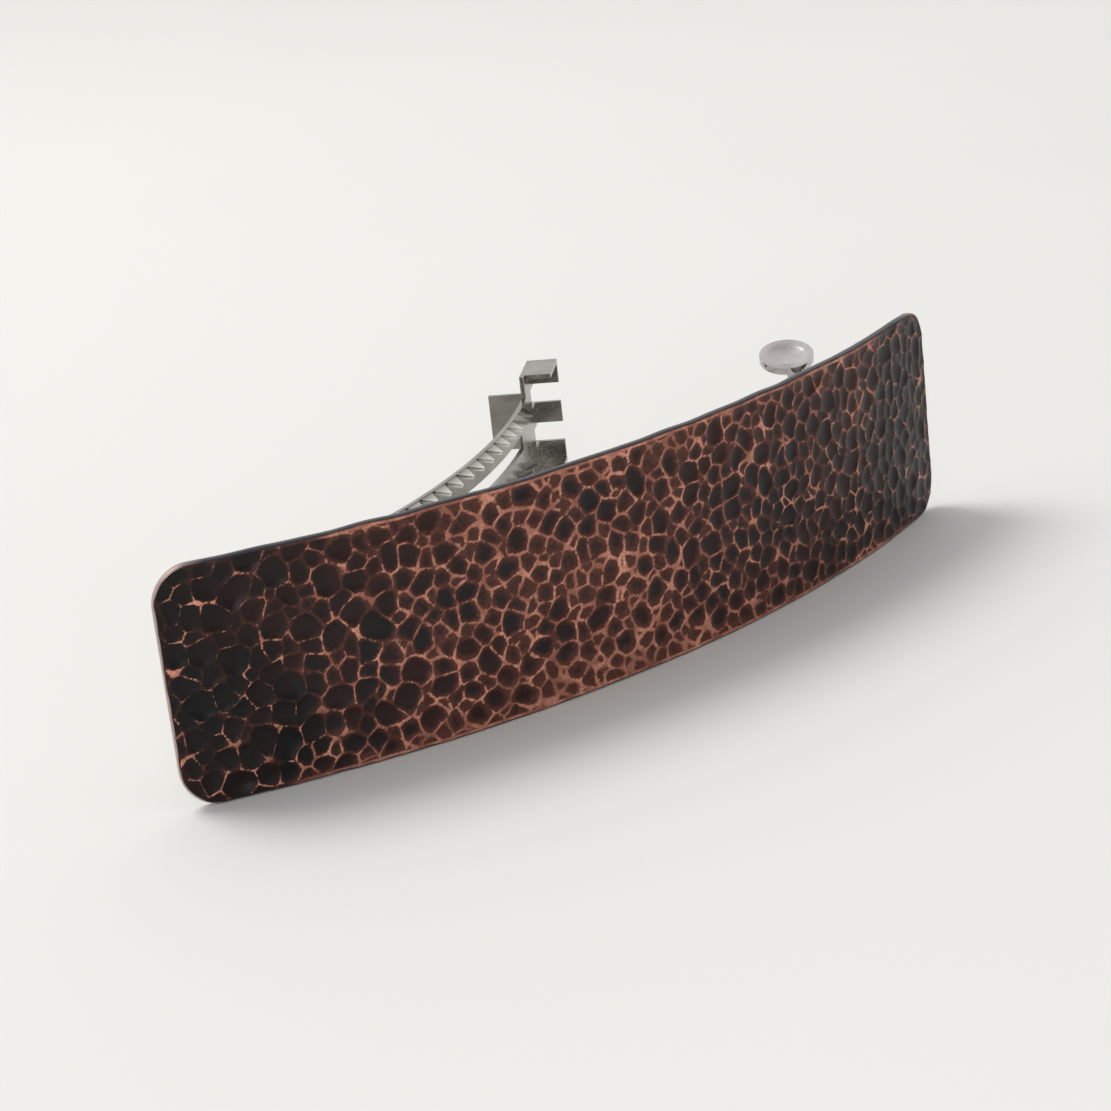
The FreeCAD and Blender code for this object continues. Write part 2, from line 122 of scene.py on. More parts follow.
def wavy_edge(rng, s, z):
    """The beaten outline: the heights of the points, with the two long edges dipping in a little."""
    dips = [0.5 + 0.5 * smooth_noise(rng, 30, 1, s, np.zeros_like(s)) for _ in range(2)]
    upper = ((z / PLATE_HEIGHT - 0.5) * 2).clip(0, 1)
    lower = ((0.5 - z / PLATE_HEIGHT) * 2).clip(0, 1)
    return z - UPPER_EDGE_DIP * dips[0] * upper + LOWER_EDGE_DIP * dips[1] * lower


# ---------------------------------------------------------------- hammer marks
STRIKE_MARGIN = 2.0 * MM
STRIKE_DEPTH = 0.20 * MM
TYPICAL_WIDTH = 1.48 * MM
DEPTH_GROWTH = 1.1
HAMMER_RADIUS = 3.5 * MM
# mean width and number of darts for each round of strikes, heavy ones first
STRIKE_ROUNDS = [(1.85 * MM, 500), (1.52 * MM, 2600), (1.24 * MM, 10000), (0.98 * MM, 9000)]
WIDTH_SPREAD = (0.86, 1.16)
DEPTH_SPREAD = (0.88, 1.12)
STRETCH_RANGE = (1.0, 1.42)
# two strikes come no closer than this share of their widths' sum
STRIKE_SPACING = 0.45
# the strikes are wider left of this share of the half length
WIDE_STRIKES_FROM = -0.6
WIDE_STRIKES = 1.15
# a strike is worked out this far from its centre, in its widths
STRIKE_REACH = 1.6
STRIKE_WANDER = 0.26 * MM
WANDER_SEED = 12
# a grid point this near to a ridge, in grid steps, is slid onto it, but not next to the edge
RIDGE_CATCH = 0.46
RIDGE_MARGIN = 1.5
RIDGE_PASSES = 2
# the marks grow shallower towards the edge
MARKS_FADE = 0.9 * MM
MARKS_AT_EDGE = 0.35


def hammer_strikes(rng):
    """Centres, widths and shapes of the ball-peen strikes: darts thrown in rounds, heavy strikes first."""
    low = np.array([-HALF_ARC - STRIKE_MARGIN, -STRIKE_MARGIN])
    high = np.array([HALF_ARC + STRIKE_MARGIN, PLATE_HEIGHT + STRIKE_MARGIN])
    centres, widths = np.zeros((0, 2)), np.zeros(0)
    for mean_width, darts in STRIKE_ROUNDS:
        for dart in rng.uniform(low, high, (darts, 2)):
            widening = WIDE_STRIKES if dart[0] < WIDE_STRIKES_FROM * HALF_ARC else 1.0
            width = mean_width * rng.uniform(*WIDTH_SPREAD) * widening
            distances = np.hypot(*(centres - dart).T)
            if (distances < STRIKE_SPACING * (width + widths)).any():
                continue
            centres = np.vstack([centres, dart])
            widths = np.append(widths, width)
    count = len(centres)
    turn = rng.uniform(0, math.pi, count)
    stretch = rng.uniform(*STRETCH_RANGE, count)
    depth = STRIKE_DEPTH * (widths / TYPICAL_WIDTH) ** DEPTH_GROWTH * rng.uniform(*DEPTH_SPREAD, count)
    tone = rng.uniform(0, 1, count)
    return centres, widths, turn, stretch, depth, tone


def hammered(s, z, strikes):
    """The surface's height, its gap to the next strike above it, that gap's slope, and its strike's tone."""
    centres, widths, turn, stretch, depth, tone = strikes
    rng = np.random.default_rng(WANDER_SEED)
    s = s + STRIKE_WANDER * smooth_noise(rng, 64, 15, s, z)
    z = z + STRIKE_WANDER * smooth_noise(rng, 64, 15, s, z)
    # height and its two slopes, for the deepest strike at each point and for the next
    lowest = np.zeros((3, len(s)))
    second = np.zeros((3, len(s)))
    owner = np.full(s.shape, 0.5)
    order = np.argsort(s, kind="stable")
    sorted_s = s[order]
    for index in range(len(centres)):
        reach = STRIKE_REACH * widths[index]
        first = np.searchsorted(sorted_s, centres[index, 0] - reach)
        last = np.searchsorted(sorted_s, centres[index, 0] + reach)
        points = order[first:last]
        points = points[np.abs(z[points] - centres[index, 1]) < reach]
        ds, dz = s[points] - centres[index, 0], z[points] - centres[index, 1]
        along = ds * math.cos(turn[index]) + dz * math.sin(turn[index])
        across = -ds * math.sin(turn[index]) + dz * math.cos(turn[index])
        fall_along = along / stretch[index] / HAMMER_RADIUS
        fall_across = across * stretch[index] / HAMMER_RADIUS
        bowl = np.stack([-depth[index] + (along * fall_along + across * fall_across) / 2,
                         fall_along * math.cos(turn[index]) - fall_across * math.sin(turn[index]),
                         fall_along * math.sin(turn[index]) + fall_across * math.cos(turn[index])])
        before, runner = lowest[:, points], second[:, points]
        deeper = bowl[0] < before[0]
        second[:, points] = np.where(deeper, before, np.where(bowl[0] < runner[0], bowl, runner))
        lowest[:, points] = np.where(deeper, bowl, before)
        owner[points[deeper]] = tone[index]
    gap, slope_s, slope_z = second - lowest
    return lowest[0], gap, (slope_s, slope_z), owner


def onto_ridges(s, z, strikes, edge):
    """Slides the grid points nearest to a ridge between two strikes onto it, so that it stays crisp."""
    _, gap, (slope_s, slope_z), _ = hammered(s, z, strikes)
    steep = np.hypot(slope_s, slope_z).clip(1e-6, None)
    near = (gap < RIDGE_CATCH * GRID_PITCH * steep) & (edge > RIDGE_MARGIN * GRID_PITCH)
    move = np.where(near, gap / steep ** 2, 0)
    return s - slope_s * move, z - slope_z * move


# ---------------------------------------------------------------- the plate's mesh
def front_rows():
    """Half length and height of each row of the front grid, inside the edge rounding."""
    corner = PLATE_CORNER - EDGE_ROUND
    steps = int(corner * math.pi / 2 / GRID_PITCH)
    curve = [(math.sin(a), 1 - math.cos(a)) for a in np.linspace(0, math.pi / 2, steps + 1)]
    half = HALF_ARC - EDGE_ROUND - corner
    low = [(half + corner * side, EDGE_ROUND + corner * rise) for side, rise in curve]
    straight = PLATE_HEIGHT - 2 * PLATE_CORNER
    count = int(straight / GRID_PITCH)
    middle = [(half + corner, PLATE_CORNER + straight * k / count) for k in range(1, count)]
    high = [(length, PLATE_HEIGHT - height) for length, height in reversed(low)]
    return low + middle + high


def front_grid(strikes):
    """The front's points, their distance from the edge rounding, their faces and their border loop."""
    rows = front_rows()
    columns = int(2 * HALF_ARC / GRID_PITCH)
    spread = np.linspace(-1, 1, columns)
    s = np.concatenate([half * spread for half, _ in rows])
    z = np.concatenate([np.full(columns, height) for _, height in rows])
    edge = inset_outline(s, z, EDGE_ROUND)
    for _ in range(RIDGE_PASSES):
        s, z = onto_ridges(s, z, strikes, edge)
    index = np.arange(len(s)).reshape(len(rows), columns)
    quads = np.stack([index[:-1, :-1], index[:-1, 1:], index[1:, 1:], index[1:, :-1]], axis=-1)
    border = np.concatenate([index[0, :], index[1:, -1], index[-1, -2::-1], index[-2:0:-1, 0]])
    return s, z, edge, quads.reshape(-1, 4).tolist(), border


def edge_profile():
    """How far out and how deep each ring of the edge lies, from the front's border round to the back."""
    turns = np.linspace(0, math.pi / 2, EDGE_STEPS + 1)[1:]
    front = [(EDGE_ROUND * math.sin(a), EDGE_ROUND * (1 - math.cos(a))) for a in turns]
    back = [(out, PLATE_THICK - deep) for out, deep in reversed(front)]
    return front + back + [(0.0, PLATE_THICK)]


def edge_faces(rings):
    """Quads between each ring of points and the next."""
    faces = []
    for ring, after in zip(rings, rings[1:]):
        for a, b, c, d in zip(ring, np.roll(ring, -1), np.roll(after, -1), after):
            faces.append([int(b), int(a), int(d), int(c)])
    return faces


def back_fill(ring, ring_s, ring_z):
    """The back inside its last ring: coarser new points, numbered on from the ring's, and their triangles."""
    inner = []
    for s in np.arange(-HALF_ARC, HALF_ARC, BACK_PITCH):
        for z in np.arange(0, PLATE_HEIGHT, BACK_PITCH):
            if inset_outline(np.array([s]), np.array([z]), EDGE_ROUND + BACK_PITCH / 2)[0] > 0:
                inner.append((s, z))
    points = [Vector((s / MM, z / MM)) for s, z in [*zip(ring_s, ring_z), *inner]]
    loop = [(k, (k + 1) % len(ring)) for k in range(len(ring))]
    flat, _, triangles, origins, _, _ = geometry.delaunay_2d_cdt(points, loop, [], 1, 1e-6, True)
    numbers, back_s, back_z = [], [], []
    for point, source in zip(flat, origins):
        if source[0] < len(ring):
            numbers.append(int(ring[source[0]]))
        else:
            numbers.append(int(ring[-1]) + 1 + len(back_s))
            back_s.append(point.x * MM)
            back_z.append(point.y * MM)
    faces = [[numbers[k] for k in reversed(triangle)] for triangle in triangles]
    return np.array(back_s), np.array(back_z), faces


def hammered_plate():
    """The bar plate: a hammered front, a rounded beaten edge and a plainer back, as one closed mesh."""
    rng = np.random.default_rng(PLATE_SEED)
    strikes = hammer_strikes(rng)
    front_s, front_z, edge, faces, border = front_grid(strikes)
    relief, gap, _, tone = hammered(front_s, front_z, strikes)
    relief *= MARKS_AT_EDGE + (1 - MARKS_AT_EDGE) * (edge / MARKS_FADE).clip(0, 1)

    # one list entry for the front, one for each ring of the edge and one for the back
    all_s, all_z, all_depth, rings = [front_s], [front_z], [-relief], [border]
    border_s, border_z = front_s[border], front_z[border]
    out_s, out_z = outward(border_s, border_z)
    for number, (out, deep) in enumerate(edge_profile()):
        rings.append(len(front_s) + number * len(border) + np.arange(len(border)))
        all_s.append(border_s + out_s * out)
        all_z.append(border_z + out_z * out)
        all_depth.append(deep - relief[border] * (1 - deep / PLATE_THICK) ** 2)
    back_s, back_z, back_faces = back_fill(rings[-1], all_s[-1], all_z[-1])
    dent = BACK_DENT * (0.5 + 0.5 * smooth_noise(rng, 44, 10, back_s, back_z))
    dent *= (inset_outline(back_s, back_z, EDGE_ROUND) / BACK_DENT_FADE).clip(0, 1)
    all_s.append(back_s)
    all_z.append(back_z)
    all_depth.append(PLATE_THICK - dent)

    s, z, depth = map(np.concatenate, (all_s, all_z, all_depth))
    mesh = bpy.data.meshes.new("hammered_plate")
    mesh.from_pydata(on_bend(s, wavy_edge(rng, s, z), depth).tolist(), [],
                     faces + edge_faces(rings) + back_faces)
    mesh.shade_smooth()
    mark_patina(mesh, s, z, depth, relief, gap, tone)
    obj = bpy.data.objects.new("hammered_plate", mesh)
    bpy.context.scene.collection.objects.link(obj)
    return obj


# ---------------------------------------------------------------- what the patina shader reads
WEAR_SEED = 8
# how fast a ridge's mark fades as the gap under the next strike grows, in typical depths
RIDGE_FALL = 0.36
# relief and tone of the edge and the back, which carry no strikes
PLAIN_RELIEF = -0.09 * MM
PLAIN_TONE = 0.5
# the polished ends begin this many corner radii from the ends and stop short of the back; their pale colour
# is partly a painted highlight
END_EDGE_FROM = 1.4
END_EDGE_DEPTH = 0.85


def add_attribute(mesh, name, values):
    layer = mesh.attributes.new(name, "FLOAT", "POINT")
    layer.data.foreach_set("value", np.asarray(values, np.float32))


def worn_share(s, z):
    """How far the patina is rubbed back, 0 to 1, in random patches and along the long edges; more copper
    shows in a band left of the middle and less towards the two ends.
    """
    rng = np.random.default_rng(WEAR_SEED)
    cloud = 0.5 + 0.5 * (0.65 * smooth_noise(rng, 13, 4, s, z) + 0.45 * smooth_noise(rng, 34, 9, s, z))
    belt = np.exp(-((s / HALF_ARC + 0.20) / 0.34) ** 2)
    long_edge = (np.abs(z / PLATE_HEIGHT - 0.5) * 2) ** 4
    low_edge = (1 - z / PLATE_HEIGHT) ** 3 * np.exp(-((s / HALF_ARC + 0.10) / 0.45) ** 2)
    end = (np.abs(s) / HALF_ARC) ** 5
    share = 0.08 + 0.50 * cloud + 0.43 * belt + 0.16 * long_edge * (1 - end) + 0.30 * low_edge - 0.40 * end
    return share.clip(0, 1)


def mark_patina(mesh, s, z, depth, relief, gap, tone):
    """Gives every point of the plate what its patina depends on. The front's points come first."""
    front_count = len(relief)

    def with_rest(front_values, rest):
        return np.concatenate([front_values, np.full(len(s) - front_count, rest)])

    end_edge = ((np.abs(s) - HALF_ARC + END_EDGE_FROM * PLATE_CORNER) / PLATE_CORNER).clip(0, 1)
    side = depth / PLATE_THICK
    side[:front_count] = 0
    add_attribute(mesh, "relief", with_rest(relief, PLAIN_RELIEF) / STRIKE_DEPTH)
    add_attribute(mesh, "strike_tone", with_rest(tone, PLAIN_TONE))
    add_attribute(mesh, "ridge", with_rest(np.exp(-gap / (RIDGE_FALL * STRIKE_DEPTH)), 0.0))
    add_attribute(mesh, "rim", inset_outline(s, z, 0.0) / MM)
    add_attribute(mesh, "end_edge", end_edge * (depth < END_EDGE_DEPTH * PLATE_THICK))
    add_attribute(mesh, "side", side)
    add_attribute(mesh, "wear", worn_share(s, z))


# ---------------------------------------------------------------- materials
class Nodes:
    """A short way to write a node material."""

    def __init__(self, name):
        self.material = bpy.data.materials.new(name)
        self.material.use_nodes = True
        self.tree = self.material.node_tree
        self.shader = self.tree.nodes["Principled BSDF"]

    def add(self, kind, **settings):
        node = self.tree.nodes.new(kind)
        for key, value in settings.items():
            setattr(node, key, value)
        return node

    def wire(self, source, target):
        self.tree.links.new(source, target)

    def surface(self, **sources):
        """Wires values to the shader's sockets, named in lower case with underscores."""
        for name, source in sources.items():
            self.wire(source, self.shader.inputs[name.replace("_", " ").title()])

    def attribute(self, name):
        return self.add("ShaderNodeAttribute", attribute_name=name).outputs["Fac"]

    def math(self, operation, a, b=0.0, clamp=False):
        node = self.add("ShaderNodeMath", operation=operation, use_clamp=clamp)
        for socket, value in zip(node.inputs, (a, b)):
            if isinstance(value, (int, float)):
                socket.default_value = value
            else:
                self.wire(value, socket)
        return node.outputs[0]

    def times(self, a, b):
        return self.math("MULTIPLY", a, b)

    def centred(self, noise):
        """A noise value, moved to lie about 0."""
        return self.math("SUBTRACT", noise, 0.5)

    def weighted(self, first, *others):
        """The sum of (value, weight) pairs."""
        total = self.times(*first)
        for pair in others:
            total = self.math("ADD", total, self.times(*pair))
        return total

    def mix(self, factor, a, b):
        node = self.add("ShaderNodeMix", data_type="RGBA")
        for socket, value in zip((node.inputs[0], node.inputs[6], node.inputs[7]), (factor, a, b)):
            if isinstance(value, (int, float)):
                socket.default_value = value
            elif isinstance(value, tuple):
                socket.default_value = (*value, 1.0)
            else:
                self.wire(value, socket)
        return node.outputs[2]

    def ramp(self, value, low, high, to_low=0.0, to_high=1.0):
        node = self.add("ShaderNodeMapRange", interpolation_type="SMOOTHSTEP")
        self.wire(value, node.inputs["Value"])
        for key, number in zip(("From Min", "From Max", "To Min", "To Max"), (low, high, to_low, to_high)):
            node.inputs[key].default_value = number
        return node.outputs["Result"]

    def noise(self, per_mm, detail, roughness=0.55, stretch=(1, 1, 1)):
        place = self.add("ShaderNodeTexCoord").outputs["Object"]
        scale = self.add("ShaderNodeMapping")
        scale.inputs["Scale"].default_value = [per_mm / MM * k for k in stretch]
        self.wire(place, scale.inputs["Vector"])
        node = self.add("ShaderNodeTexNoise")
        node.inputs["Scale"].default_value = 1.0
        node.inputs["Detail"].default_value = detail
        node.inputs["Roughness"].default_value = roughness
        self.wire(scale.outputs[0], node.inputs["Vector"])
        return node.outputs["Fac"]

    def bump(self, height, distance, strength):
        node = self.add("ShaderNodeBump")
        node.inputs["Distance"].default_value = distance
        node.inputs["Strength"].default_value = strength
        self.wire(height, node.inputs["Height"])
        self.wire(node.outputs[0], self.shader.inputs["Normal"])


# linear colours; a pair is mixed by noise or by the strike
HOLLOWS = (0.0120, 0.0135, 0.0160), (0.0420, 0.0150, 0.0120)
SLOPES = (0.085, 0.027, 0.018), (0.190, 0.066, 0.046)
COPPER = (0.50, 0.185, 0.120), (0.90, 0.440, 0.320)
TARNISHED_COPPER = (0.20, 0.066, 0.046)
SOOT = (0.004, 0.004, 0.005)
UNWORN_OXIDE = (0.003, 0.0025, 0.0025)
BACK_TONES = (0.022, 0.014, 0.013), (0.085, 0.032, 0.022)
HANDLED_COPPER = (0.22, 0.084, 0.056)
EDGE_TONES = (0.028, 0.028, 0.034), (0.056, 0.052, 0.061)
POLISHED_END_WITH_PAINTED_HIGHLIGHT = (0.50, 0.38, 0.34)
SPECKS = (0.16, 0.13, 0.11)
ADHESIVE = (0.42, 0.34, 0.19), (0.62, 0.54, 0.36)
BUBBLES = (0.85, 0.82, 0.72)
FLOOR_TONES = (0.70, 0.70, 0.685), (0.76, 0.76, 0.745)


def rubbed_share(m, wear, fine, grit, patch):
    """Where copper shows: along the ridges and the rim, wider where they stand high or the wear is heavy."""
    level = m.weighted((m.attribute("relief"), 0.50), (wear, 0.75),
                       (m.attribute("ridge"), m.ramp(patch, 0.30, 0.70, 0.45, 1.50)),
                       (m.centred(fine), 0.85), (m.centred(grit), 0.55))
    rim_line = m.times(m.ramp(m.attribute("rim"), 0.28, 0.44, 1.0, 0.0), m.ramp(wear, 0.20, 0.50))
    return m.math("MAXIMUM", m.ramp(level, 0.66, 1.16), rim_line)


def oxide_colour(m, wear, fine, grit, cloud):
    """The front's oxide: hollows from blue-black to brown-black, turning red-brown up their slopes."""
    rise = m.weighted((m.attribute("relief"), 0.50), (wear, 0.75),
                      (m.math("POWER", m.attribute("ridge"), 0.35), 0.55), (m.centred(fine), 0.60))
    tint = m.weighted((m.attribute("strike_tone"), 0.40), (m.ramp(cloud, 0.34, 0.66), 0.60))
    oxide = m.mix(m.times(m.ramp(rise, 0.06, 0.64), 0.85), m.mix(tint, *HOLLOWS), m.mix(fine, *SLOPES))
    oxide = m.mix(m.ramp(grit, 0.25, 0.75, 0.40, 0.0), oxide, SOOT)
    return m.mix(m.ramp(wear, 0.05, 0.45, 0.60, 0.0), oxide, UNWORN_OXIDE)


def patina_copper():
    """Oxidised copper: near-black hollows, red-brown slopes and copper where the high spots are rubbed."""
    m = Nodes("patina_copper")
    fine = m.noise(2.6, detail=4)
    grit = m.noise(9.0, detail=2)
    patch = m.noise(0.75, detail=2)
    cloud = m.noise(0.16, detail=2)
    tarnish = m.noise(0.40, detail=5, roughness=0.62)
    wear = m.attribute("wear")
    side = m.attribute("side")
    front = m.ramp(side, 0.01, 0.10, 1.0, 0.0)
    end_edge = m.times(m.attribute("end_edge"), m.math("SUBTRACT", 1.0, front))
    rubbed = m.times(rubbed_share(m, wear, fine, grit, patch), front)

    copper = m.mix(m.ramp(grit, 0.3, 0.7), *COPPER)
    copper = m.mix(m.ramp(tarnish, 0.38, 0.66, 0.75, 0.0), copper, TARNISHED_COPPER)
    # the cut edge is blue-black, the back brown with duller copper where it has been handled
    back_tone = m.mix(m.ramp(tarnish, 0.38, 0.62), *BACK_TONES)
    back_tone = m.mix(m.ramp(patch, 0.54, 0.78, 0.0, 0.35), back_tone, HANDLED_COPPER)
    # the ends of the edge are worn bright metal, and their pale colour also paints a highlight on them
    edge_tone = m.mix(m.times(end_edge, 0.85), m.mix(cloud, *EDGE_TONES), POLISHED_END_WITH_PAINTED_HIGHLIGHT)
    rest = m.mix(m.ramp(side, 0.82, 0.98), edge_tone, back_tone)
    dark = m.mix(front, rest, oxide_colour(m, wear, fine, grit, cloud))

    bare = m.math("ADD", m.ramp(rubbed, 0.2, 1.0, 0.10, 0.50), m.times(end_edge, 0.6), clamp=True)
    rough = m.math("ADD", m.ramp(grit, 0.2, 0.8, 0.30, 0.44), m.times(rubbed, 0.05))
    m.surface(base_color=m.mix(rubbed, dark, copper), metallic=bare, roughness=rough)
    m.shader.inputs["Specular IOR Level"].default_value = 0.20
    m.bump(m.weighted((fine, 0.7), (grit, 0.3)), 0.018 * MM, 0.8)
    return m.material


def plated_steel(name, light, dark, rough, brushed, painted_tip_highlight=None):
    """Nickel-plated steel: satin, brushed along the strip, with dull patches and, on the arm, a painted
    highlight on each tooth tip.
    """
    m = Nodes(name)
    cloud = m.noise(0.35, detail=4)
    grain = m.noise(2.2, detail=3, stretch=brushed)
    speck = m.noise(6.0, detail=2)
    colour = m.mix(m.ramp(cloud, 0.3, 0.7), dark, light)
    colour = m.mix(m.ramp(speck, 0.66, 0.78, 0.0, 0.35), colour, SPECKS)
    # painted highlight: the upper parts of the teeth are coloured light, as if lit from the front
    if painted_tip_highlight:
        colour = m.mix(m.attribute("proud"), colour, painted_tip_highlight)
    streaks = m.math("ADD", grain, m.times(cloud, 0.6))
    m.surface(base_color=colour, roughness=m.ramp(streaks, 0.5, 1.1, rough - 0.06, rough + 0.12))
    m.shader.inputs["Metallic"].default_value = 1.0
    m.bump(grain, 0.010 * MM, 0.5)
    return m.material


def cured_adhesive():
    """Clear two-part adhesive, yellowed, with small bubbles."""
    m = Nodes("cured_adhesive")
    cloud = m.noise(0.9, detail=3)
    bubble = m.noise(4.0, detail=1)
    colour = m.mix(m.ramp(bubble, 0.62, 0.70, 0.0, 0.5), m.mix(cloud, *ADHESIVE), BUBBLES)
    m.surface(base_color=colour, roughness=m.ramp(bubble, 0.3, 0.7, 0.16, 0.30))
    m.shader.inputs["Subsurface Weight"].default_value = 0.25
    m.shader.inputs["Subsurface Radius"].default_value = (0.6 * MM, 0.4 * MM, 0.2 * MM)
    m.bump(bubble, 0.02 * MM, 0.6)
    return m.material


def pale_floor():
    m = Nodes("pale_floor")
    m.surface(base_color=m.mix(m.noise(0.004, detail=3), *FLOOR_TONES))
    m.shader.inputs["Roughness"].default_value = 0.7
    m.shader.inputs["Specular IOR Level"].default_value = 0.25
    return m.material


# ---------------------------------------------------------------- steel and adhesive pieces
WELD_DISTANCE = 0.002 * MM
FLAT_ANGLE = math.radians(0.8)
SHARP_ANGLE = math.radians(38)


def softened(node, name, width):
    """A copy of a CAD node with its flat faces joined up and its sharp edges rounded."""
    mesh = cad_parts[node].data.copy()
    work = bmesh.new()
    work.from_mesh(mesh)
    bmesh.ops.remove_doubles(work, verts=work.verts, dist=WELD_DISTANCE)
    bmesh.ops.dissolve_limit(work, angle_limit=FLAT_ANGLE, verts=work.verts, edges=work.edges)
    work.to_mesh(mesh)
    work.free()
    mesh.materials.clear()
    obj = bpy.data.objects.new(name, mesh)
    bpy.context.scene.collection.objects.link(obj)
    rounding = obj.modifiers.new("rounding", "BEVEL")
    rounding.width = width
    rounding.segments = 2
    rounding.limit_method = "ANGLE"
    rounding.angle_limit = SHARP_ANGLE
    rounding.use_clamp_overlap = True
    rounding.harden_normals = False
    obj.data.shade_smooth()
    smooth = obj.modifiers.new("normals", "WEIGHTED_NORMAL")
    smooth.keep_sharp = False
    smooth.weight = 80
    return obj


# heights from the arm's centre line, and the distance from the pin where the head starts
STRIP_SIDE = 3.0 * MM
SLOT_SIDE = 1.5 * MM
HEAD_FROM = 54.0 * MM
# the painted highlight on a tooth begins this far out of the strip and grows over this length
TIP_FROM = 0.4 * MM
TIP_LENGTH = 0.6 * MM


def mark_teeth(arm):
    """Marks how far up a tooth each point of the arm is, by its distance from the strip's two long sides, for
    the painted highlight on the teeth.
    """
    pin_low, pin_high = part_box("hinge_pin")
    pin = (pin_low + pin_high) / 2
    place = np.array([arm.matrix_world @ vertex.co - pin for vertex in arm.data.vertices])
    across = np.abs(place[:, 2])
    sides = place[across > STRIP_SIDE][:, :2]
    away = np.array([np.hypot(*(sides - point[:2]).T).min() for point in place])
    on_tooth = (across > SLOT_SIDE) & (np.hypot(place[:, 0], place[:, 1]) < HEAD_FROM)
    add_attribute(arm.data, "proud", ((away - TIP_FROM) / TIP_LENGTH).clip(0, 1) * on_tooth)


def install(obj, node, body, material):
    """A piece stands for a CAD node, rides on its body and takes its material."""
    obj.data.materials.append(material)
    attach(obj, body)
    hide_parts(node)


STEEL = plated_steel("nickel_plate", light=(0.47, 0.45, 0.425), dark=(0.35, 0.335, 0.31), rough=0.17,
                     brushed=(1, 1, 9))
SPRING = plated_steel("spring_plate", light=(0.56, 0.535, 0.53), dark=(0.45, 0.425, 0.42), rough=0.14,
                      brushed=(1, 1, 6))
# The arm is a darker copy of the nickel plate: its colour is painted shade and dark reflection for the web
# between the teeth, and the tooth ends carry a painted highlight.
ARM_PAINTED_SHADE_AND_TIP_HIGHLIGHT = plated_steel("arm_plate_with_painted_shade_and_highlight", light=(0.32, 0.305, 0.285), dark=(0.22, 0.21, 0.19), rough=0.20,
                   brushed=(1, 1, 9), painted_tip_highlight=(0.80, 0.78, 0.75))
GLUE = cured_adhesive()

# node, piece, body, material slot, material, and edge rounding in mm
CLIP_PIECES = [
    ("base_bar", "bar_strip", "base", "plated_steel", STEEL, 0.10),
    ("hinge_pin", "hinge_rivet_pin", "base", "plated_steel", SPRING, 0.16),
    ("clasp_arm", "toothed_arm", "arm", "plated_steel", ARM_PAINTED_SHADE_AND_TIP_HIGHLIGHT, 0.07),
    ("tension_bar", "spring_strip", "tension_strip", "spring_steel", SPRING, 0.06),
    ("catch_seat", "catch_plate", "base", "spring_steel", SPRING, 0.08),
    ("catch_rivet", "catch_rivet_head", "base", "plated_steel", STEEL, 0.14),
    ("catch_leg_upper", "squeeze_leg_upper", "leg_upper", "spring_steel", SPRING, 0.10),
    ("catch_leg_lower", "squeeze_leg_lower", "leg_lower", "spring_steel", SPRING, 0.10),
    ("bond_pad_left", "glue_left", "base", "clear_adhesive", GLUE, 0.08),
    ("bond_pad_right", "glue_right", "base", "clear_adhesive", GLUE, 0.08),
]

install(hammered_plate(), "face_plate", "base", patina_copper())
for node, name, body, slot, material, rounding_mm in CLIP_PIECES:
    piece = softened(node, name, rounding_mm * MM)
    if node == "clasp_arm":
        mark_teeth(piece)
    install(piece, node, body, material)


# ---------------------------------------------------------------- camera, floor and light
CAMERA_SIDE = math.radians(-38.46)
CAMERA_RISE = math.radians(18.85)
CAMERA_ROLL = math.radians(-6.46)
CAMERA_DISTANCE = 231.3 * MM
CAMERA_SHIFT_X = 8.39 * MM
CAMERA_SHIFT_Y = 0.23 * MM
CAMERA_CLIP = 5.0 * MM
LENS_MM = 89.3
SENSOR_MM = 36.0
FLOOR_HALF = 3.0
SKY_STRENGTH = 0.92
SKY_TINT = (1.0, 0.99, 0.965)
# the sky's share of its strength behind the camera, and where along Y it fades to that and to full
SKY_BEHIND_CAMERA = 0.34
SKY_FADE = (-0.7, 0.5)


def make_camera():
    """The camera looks at mid-height of the plate's front, rolled as the photographer held it."""
    back = Vector((math.sin(CAMERA_SIDE) * math.cos(CAMERA_RISE),
                   -math.cos(CAMERA_SIDE) * math.cos(CAMERA_RISE), math.sin(CAMERA_RISE)))
    level = (-back).cross(Vector((0, 0, 1))).normalized()
    upright = level.cross(-back)
    right = level * math.cos(CAMERA_ROLL) + upright * math.sin(CAMERA_ROLL)
    up = upright * math.cos(CAMERA_ROLL) - level * math.sin(CAMERA_ROLL)
    aim = Vector((0, plate_low.y, PLATE_HEIGHT / 2))
    place = aim + back * CAMERA_DISTANCE - right * CAMERA_SHIFT_X - up * CAMERA_SHIFT_Y
    data = bpy.data.cameras.new("camera")
    data.lens = LENS_MM
    data.sensor_width = SENSOR_MM
    data.clip_start = CAMERA_CLIP
    camera = bpy.data.objects.new("camera", data)
    axes = Matrix((right, up, back)).transposed()
    camera.matrix_world = Matrix.Translation(place) @ axes.to_4x4()
    bpy.context.scene.collection.objects.link(camera)
    bpy.context.scene.camera = camera


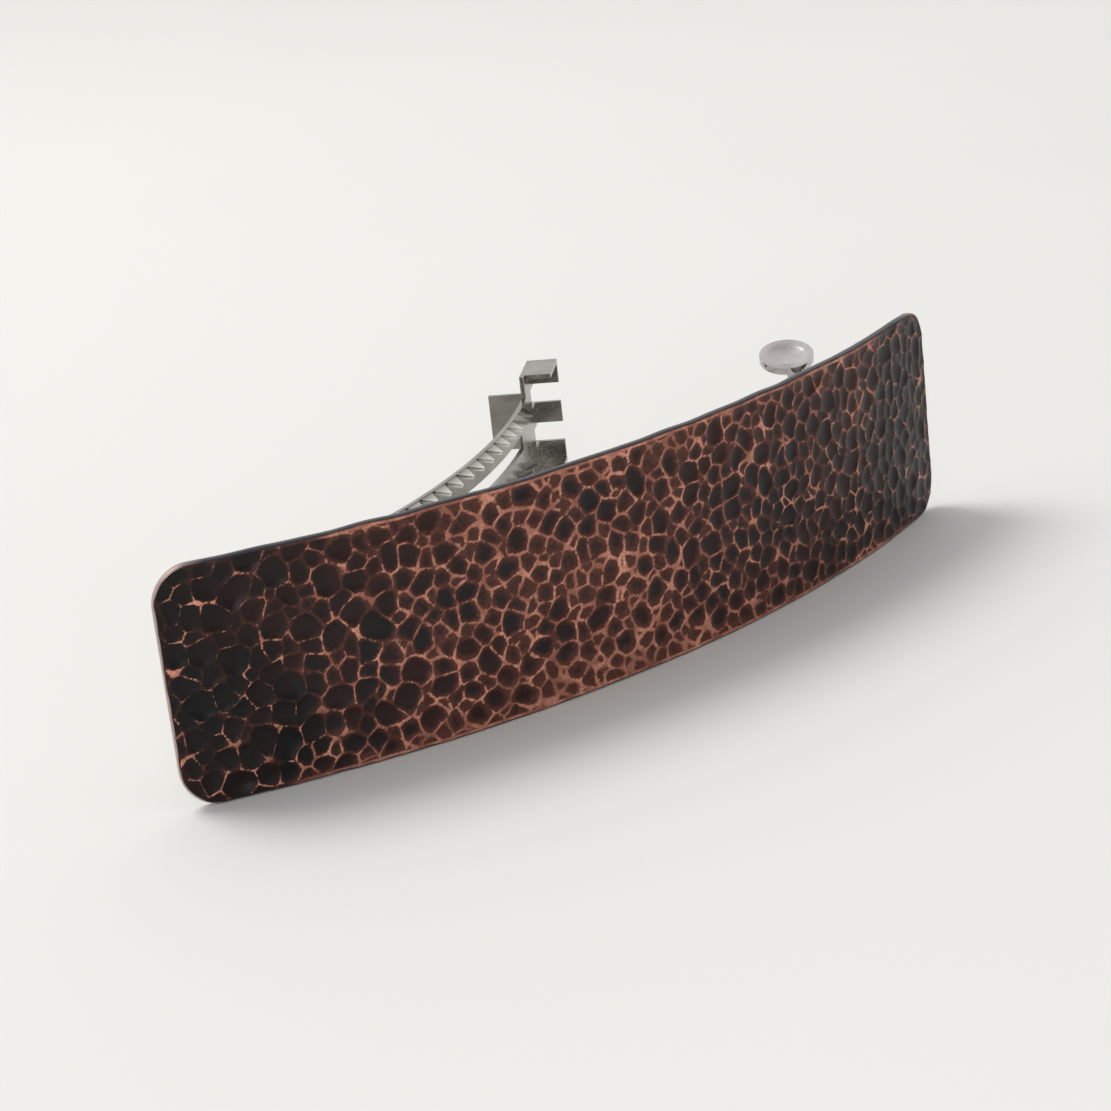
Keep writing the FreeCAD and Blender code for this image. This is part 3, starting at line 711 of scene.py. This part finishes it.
def soft_light(name, place, size, power, colour):
    """A round area light that faces the barrette."""
    data = bpy.data.lights.new(name, "AREA")
    data.shape = "DISK"
    data.size = size
    data.energy = power
    data.color = colour
    aim = Vector((0, 0.01, 0.01))
    lamp = bpy.data.objects.new(name, data)
    lamp.location = place
    lamp.rotation_mode = "QUATERNION"
    lamp.rotation_quaternion = (aim - Vector(place)).to_track_quat("-Z", "Y")
    bpy.context.scene.collection.objects.link(lamp)


def make_floor():
    mesh = bpy.data.meshes.new("floor")
    corners = [(x * FLOOR_HALF, y * FLOOR_HALF, 0) for x, y in ((-1, -1), (1, -1), (1, 1), (-1, 1))]
    mesh.from_pydata(corners, [], [(0, 1, 2, 3)])
    mesh.materials.append(pale_floor())
    floor = bpy.data.objects.new("floor", mesh)
    bpy.context.scene.collection.objects.link(floor)


def make_world():
    """A plain studio: bright overhead and behind the object, dimmer behind the camera."""
    world = bpy.data.worlds.new("studio")
    world.use_nodes = True
    tree = world.node_tree
    sky = tree.nodes["Background"]
    sky.inputs["Strength"].default_value = SKY_STRENGTH
    direction = tree.nodes.new("ShaderNodeTexCoord")
    split = tree.nodes.new("ShaderNodeSeparateXYZ")
    tree.links.new(direction.outputs["Generated"], split.inputs[0])
    ramp = tree.nodes.new("ShaderNodeMapRange")
    ramp.interpolation_type = "SMOOTHSTEP"
    for key, value in zip(("From Min", "From Max", "To Min", "To Max"), (*SKY_FADE, SKY_BEHIND_CAMERA, 1.0)):
        ramp.inputs[key].default_value = value
    tree.links.new(split.outputs["Y"], ramp.inputs["Value"])
    tint = tree.nodes.new("ShaderNodeMix")
    tint.data_type = "RGBA"
    tint.inputs[6].default_value = (0.0, 0.0, 0.0, 1.0)
    tint.inputs[7].default_value = (*SKY_TINT, 1.0)
    tree.links.new(ramp.outputs["Result"], tint.inputs[0])
    tree.links.new(tint.outputs[2], sky.inputs["Color"])
    bpy.context.scene.world = world


make_camera()
make_floor()
make_world()
soft_light("window", (-0.18, 0.50, 0.85), size=0.50, power=5.4, colour=(1.0, 0.985, 0.96))
soft_light("front_fill", (-0.55, -0.75, 0.38), size=0.45, power=2.6, colour=(0.97, 0.98, 1.0))
bpy.context.scene.view_settings.view_transform = "Standard"
